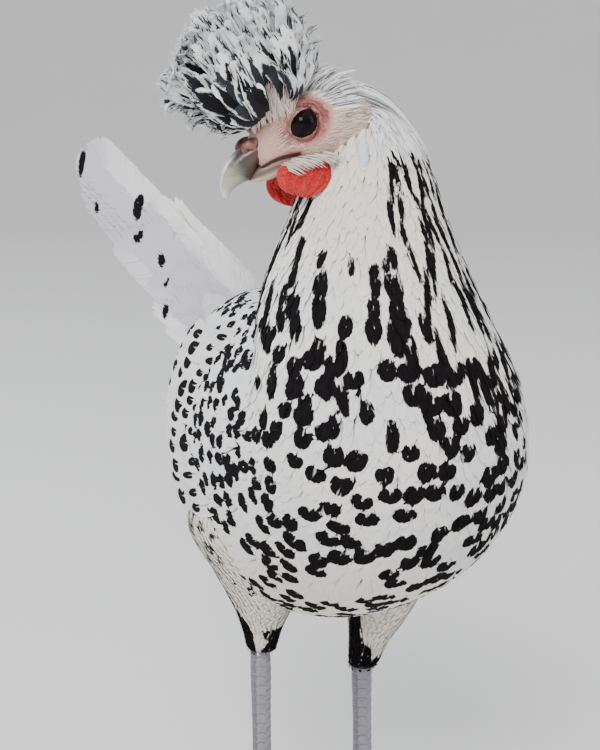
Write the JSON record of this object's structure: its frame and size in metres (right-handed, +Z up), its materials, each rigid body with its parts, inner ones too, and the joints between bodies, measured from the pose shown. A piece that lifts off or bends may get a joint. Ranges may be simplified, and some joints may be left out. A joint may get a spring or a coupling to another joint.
{
  "type": "chicken",
  "caption": "Standing Appenzeller Spitzhauben hen with a forward crest, spangled plumage, folded wings, raised tail and slate legs, its head turned to its right.",
  "frame": {"origin": "on the floor, below the middle of the bird's bounding box", "axes": "+Z up; the breast faces -Y and the bird's left side is +X; X is the shortest extent and Z the longest"},
  "size_m": [0.1558, 0.2804, 0.3493],
  "materials": {
    "white_feather": "matt",
    "pale_feather": "matt",
    "crest_feather": "matt",
    "face_skin": "matt",
    "horn": "satin",
    "dark_eye": "gloss",
    "red_skin": "satin",
    "lobe_skin": "matt",
    "slate_scale": "satin",
    "claw_horn": "satin"
  },
  "bodies": {
    "root": {"torso": "white_feather", "neck": "white_feather", "thigh_left": "white_feather", "thigh_right": "white_feather", "wing_left": "pale_feather", "wing_right": "pale_feather", "tail": "pale_feather", "crest": "crest_feather", "head": "face_skin", "upper_beak": "horn", "lower_beak": "horn", "eye_left": "dark_eye", "eye_right": "dark_eye", "comb": "red_skin", "wattle_left": "red_skin", "wattle_right": "red_skin", "earlobe_left": "lobe_skin", "earlobe_right": "lobe_skin", "shank_left": "slate_scale", "toe_middle_left": "slate_scale", "toe_inner_left": "slate_scale", "toe_outer_left": "slate_scale", "toe_hallux_left": "slate_scale", "shank_right": "slate_scale", "toe_middle_right": "slate_scale", "toe_inner_right": "slate_scale", "toe_outer_right": "slate_scale", "toe_hallux_right": "slate_scale", "claw_middle_left": "claw_horn", "claw_inner_left": "claw_horn", "claw_outer_left": "claw_horn", "claw_hallux_left": "claw_horn", "claw_middle_right": "claw_horn", "claw_inner_right": "claw_horn", "claw_outer_right": "claw_horn", "claw_hallux_right": "claw_horn"}
  },
  "joints": []
}
